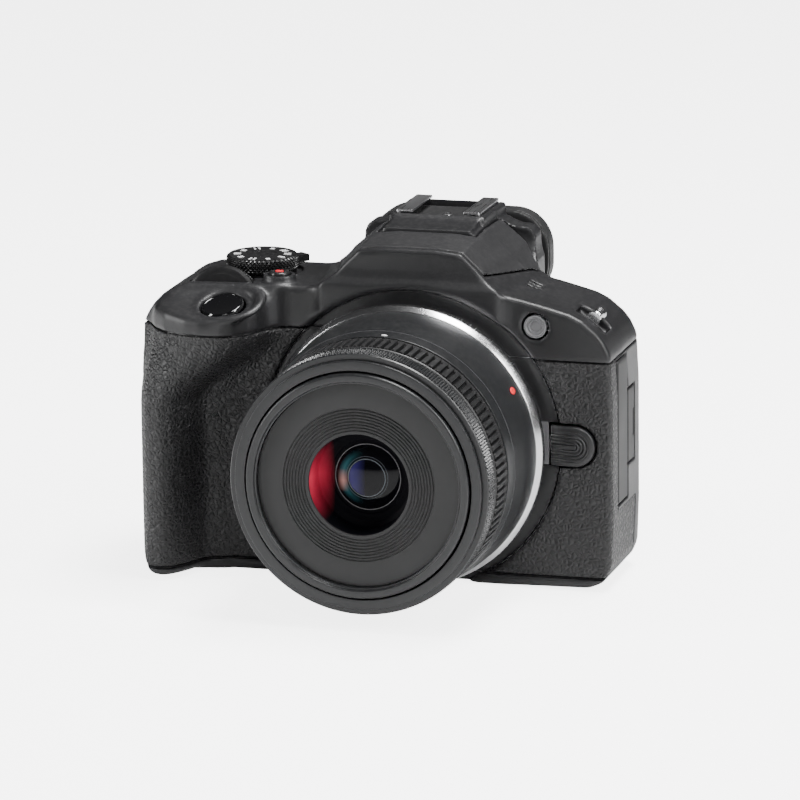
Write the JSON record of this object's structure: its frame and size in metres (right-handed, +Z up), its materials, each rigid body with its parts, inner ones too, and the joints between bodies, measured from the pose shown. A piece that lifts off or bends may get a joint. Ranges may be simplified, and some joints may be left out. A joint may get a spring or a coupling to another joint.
{
  "type": "interchangeable lens camera",
  "caption": "Compact mirrorless camera with a deep hand grip, viewfinder hump with pop-up flash, fixed rear screen and a retracting zoom lens.",
  "frame": {"origin": "mouth of the tripod socket on the base, under the lens axis", "axes": "+X to the right seen from in front, +Y from the lens towards the eyecup, +Z up"},
  "size_m": [0.1163, 0.1015, 0.0855],
  "materials": {
    "body_plastic": "fine-grained satin moulding",
    "hood_plastic": "coarser grain",
    "leatherette": "pebbled",
    "rubber": "soft matt",
    "gloss_black": "polished",
    "dial_black": "knurled, semi-gloss",
    "lens_barrel": "satin",
    "steel": "brushed",
    "mount_chrome": "polished",
    "alloy": "cast",
    "contact_gold": "gold plated",
    "optical_glass": "coated",
    "lamp_lens": "frosted",
    "flash_lens": "prismatic",
    "display_glass": "polished",
    "circuit": "solder mask",
    "battery_grey": "moulded",
    "card_blue": "moulded"
  },
  "bodies": {
    "root": {"front_cover": "body_plastic", "top_cover": "body_plastic", "rear_cover": "body_plastic", "bottom_cover": "body_plastic", "grip_skin": "leatherette", "front_skin": "leatherette", "thumb_rest": "leatherette", "chassis": "alloy", "mount_ring": "mount_chrome", "body_screws": "steel", "mount_contacts": "contact_gold", "af_lamp_window": "lamp_lens", "hot_shoe_rails": "steel", "hot_shoe_base": "body_plastic", "eyecup": "rubber", "eyepiece_lens": "optical_glass", "evf_display": "display_glass", "strap_lugs": "mount_chrome", "terminal_sockets": "steel", "battery": "battery_grey", "memory_card": "card_blue", "tripod_socket": "steel", "image_sensor": "circuit", "shutter_unit": "body_plastic", "main_board": "circuit", "screen_frame": "body_plastic", "screen_glass": "display_glass", "display_panel": "circuit", "lens_mount": "mount_chrome", "rear_barrel": "lens_barrel", "rear_element": "optical_glass", "focus_rods": "steel"},
    "flash": {"flash_hood": "hood_plastic", "flash_window": "flash_lens"},
    "shutter_button": {"shutter_button": "gloss_black"},
    "main_dial": {"main_dial": "dial_black"},
    "mode_dial": {"mode_dial": "dial_black"},
    "power_lever": {"power_lever": "dial_black"},
    "movie_button": {"movie_button": "dial_black"},
    "release_button": {"release_button": "body_plastic"},
    "lens_lock_pin": {"lens_lock_pin": "steel"},
    "zoom_ring": {"zoom_ring": "lens_barrel"},
    "control_ring": {"control_ring": "lens_barrel"},
    "inner_barrel": {"inner_barrel": "lens_barrel", "name_ring": "lens_barrel", "front_element": "optical_glass"},
    "focus_group": {"focus_group": "lens_barrel"},
    "dioptre_knob": {"dioptre_knob": "dial_black"},
    "pad_carrier": {"pad_carrier": "body_plastic"},
    "cross_pad": {"cross_pad": "dial_black"},
    "set_button": {"set_button": "dial_black"},
    "terminal_cover_front": {"terminal_cover_front": "rubber"},
    "terminal_cover_rear": {"terminal_cover_rear": "rubber"},
    "battery_door": {"battery_door": "body_plastic"},
    "battery_latch": {"battery_latch": "dial_black"},
    "menu_button": {"menu_button": "dial_black"},
    "info_button": {"info_button": "dial_black"},
    "play_button": {"play_button": "dial_black"},
    "ae_lock_button": {"ae_lock_button": "dial_black"},
    "af_point_button": {"af_point_button": "dial_black"}
  },
  "joints": [
    {"name": "shutter_press", "type": "slide", "parent": "root", "child": "shutter_button", "axis": [0.1207, 0.332, -0.9355], "range_m": [0, 0.0012], "stiffness_N_per_m": 400, "springref_m": -0.00036},
    {"name": "main_dial_spin", "type": "hinge", "parent": "root", "child": "main_dial", "pos_m": [-0.0475, -0.012, 0.0652], "axis": [0, -0.9397, 0.342], "continuous": true},
    {"name": "mode_dial_spin", "type": "hinge", "parent": "root", "child": "mode_dial", "pos_m": [-0.0417, 0.002, 0.072], "axis": [0, 0, 1], "continuous": true},
    {"name": "power_lever_turn", "type": "hinge", "parent": "root", "child": "power_lever", "pos_m": [-0.0417, 0.002, 0.0704], "axis": [0, 0, -1], "range_deg": [0, 30]},
    {"name": "movie_press", "type": "slide", "parent": "root", "child": "movie_button", "axis": [0, 0, -1], "range_m": [0, 0.0006], "stiffness_N_per_m": 400, "springref_m": -0.00018},
    {"name": "flash_raise", "type": "hinge", "parent": "root", "child": "flash", "pos_m": [0, 0.014, 0.079], "axis": [-1, 0, 0], "range_deg": [0, 35]},
    {"name": "zoom_turn", "type": "hinge", "parent": "root", "child": "zoom_ring", "pos_m": [0, -0.04, 0.0348], "axis": [0, 1, 0], "range_deg": [0, 92]},
    {"name": "barrel_extend", "type": "slide", "parent": "root", "child": "inner_barrel", "axis": [0, -1, 0], "range_m": [0, 0.018]},
    {"name": "control_ring_spin", "type": "hinge", "parent": "root", "child": "control_ring", "pos_m": [0, -0.04, 0.0348], "axis": [0, 1, 0], "continuous": true},
    {"name": "focus_slide", "type": "slide", "parent": "root", "child": "focus_group", "axis": [0, 1, 0], "range_m": [-0.0015, 0.0015]},
    {"name": "release_press", "type": "slide", "parent": "root", "child": "release_button", "axis": [0, 1, 0], "range_m": [0, 0.0015], "stiffness_N_per_m": 400, "springref_m": -0.00045},
    {"name": "lock_pin_retract", "type": "slide", "parent": "root", "child": "lens_lock_pin", "axis": [0, 1, 0], "range_m": [0, 0.0015]},
    {"name": "dioptre_turn", "type": "hinge", "parent": "root", "child": "dioptre_knob", "pos_m": [-0.022, 0.024, 0.064], "axis": [-1, 0, 0], "range_deg": [-120, 120]},
    {"name": "pad_tilt_vertical", "type": "hinge", "parent": "root", "child": "pad_carrier", "pos_m": [-0.0475, 0.0145, 0.022], "axis": [1, 0, 0], "range_deg": [-3, 3], "stiffness_Nm_per_rad": 0.05},
    {"name": "pad_tilt_sideways", "type": "hinge", "parent": "pad_carrier", "child": "cross_pad", "pos_m": [-0.0475, 0.0145, 0.022], "axis": [0, 0, 1], "range_deg": [-3, 3], "stiffness_Nm_per_rad": 0.05},
    {"name": "set_press", "type": "slide", "parent": "root", "child": "set_button", "axis": [0, -1, 0], "range_m": [0, 0.0005], "stiffness_N_per_m": 400, "springref_m": -0.00015},
    {"name": "terminal_cover_front_open", "type": "hinge", "parent": "root", "child": "terminal_cover_front", "pos_m": [0.0493, -0.0085, 0.037], "axis": [0, 0, -1], "range_deg": [0, 110]},
    {"name": "terminal_cover_rear_open", "type": "hinge", "parent": "root", "child": "terminal_cover_rear", "pos_m": [0.0493, 0.0073, 0.037], "axis": [0, 0, 1], "range_deg": [0, 95]},
    {"name": "battery_door_open", "type": "hinge", "parent": "root", "child": "battery_door", "pos_m": [-0.0259, -0.003, 0.0012], "axis": [0, -1, 0], "range_deg": [0, 90]},
    {"name": "battery_latch_slide", "type": "slide", "parent": "battery_door", "child": "battery_latch", "axis": [-1, 0, 0], "range_m": [0, 0.002]},
    {"name": "menu_press", "type": "slide", "parent": "root", "child": "menu_button", "axis": [0, -1, 0], "range_m": [0, 0.0005], "stiffness_N_per_m": 400, "springref_m": -0.00015},
    {"name": "info_press", "type": "slide", "parent": "root", "child": "info_button", "axis": [0, -1, 0], "range_m": [0, 0.0005], "stiffness_N_per_m": 400, "springref_m": -0.00015},
    {"name": "play_press", "type": "slide", "parent": "root", "child": "play_button", "axis": [0, -1, 0], "range_m": [0, 0.0005], "stiffness_N_per_m": 400, "springref_m": -0.00015},
    {"name": "ae_lock_press", "type": "slide", "parent": "root", "child": "ae_lock_button", "axis": [0, -1, 0], "range_m": [0, 0.0005], "stiffness_N_per_m": 400, "springref_m": -0.00015},
    {"name": "af_point_press", "type": "slide", "parent": "root", "child": "af_point_button", "axis": [0, -1, 0], "range_m": [0, 0.0005], "stiffness_N_per_m": 400, "springref_m": -0.00015}
  ],
  "couplings": [
    {"joint": "barrel_extend", "follows": "zoom_turn", "m_per_rad": 0.011209},
    {"joint": "lock_pin_retract", "follows": "release_press", "ratio": 1}
  ]
}
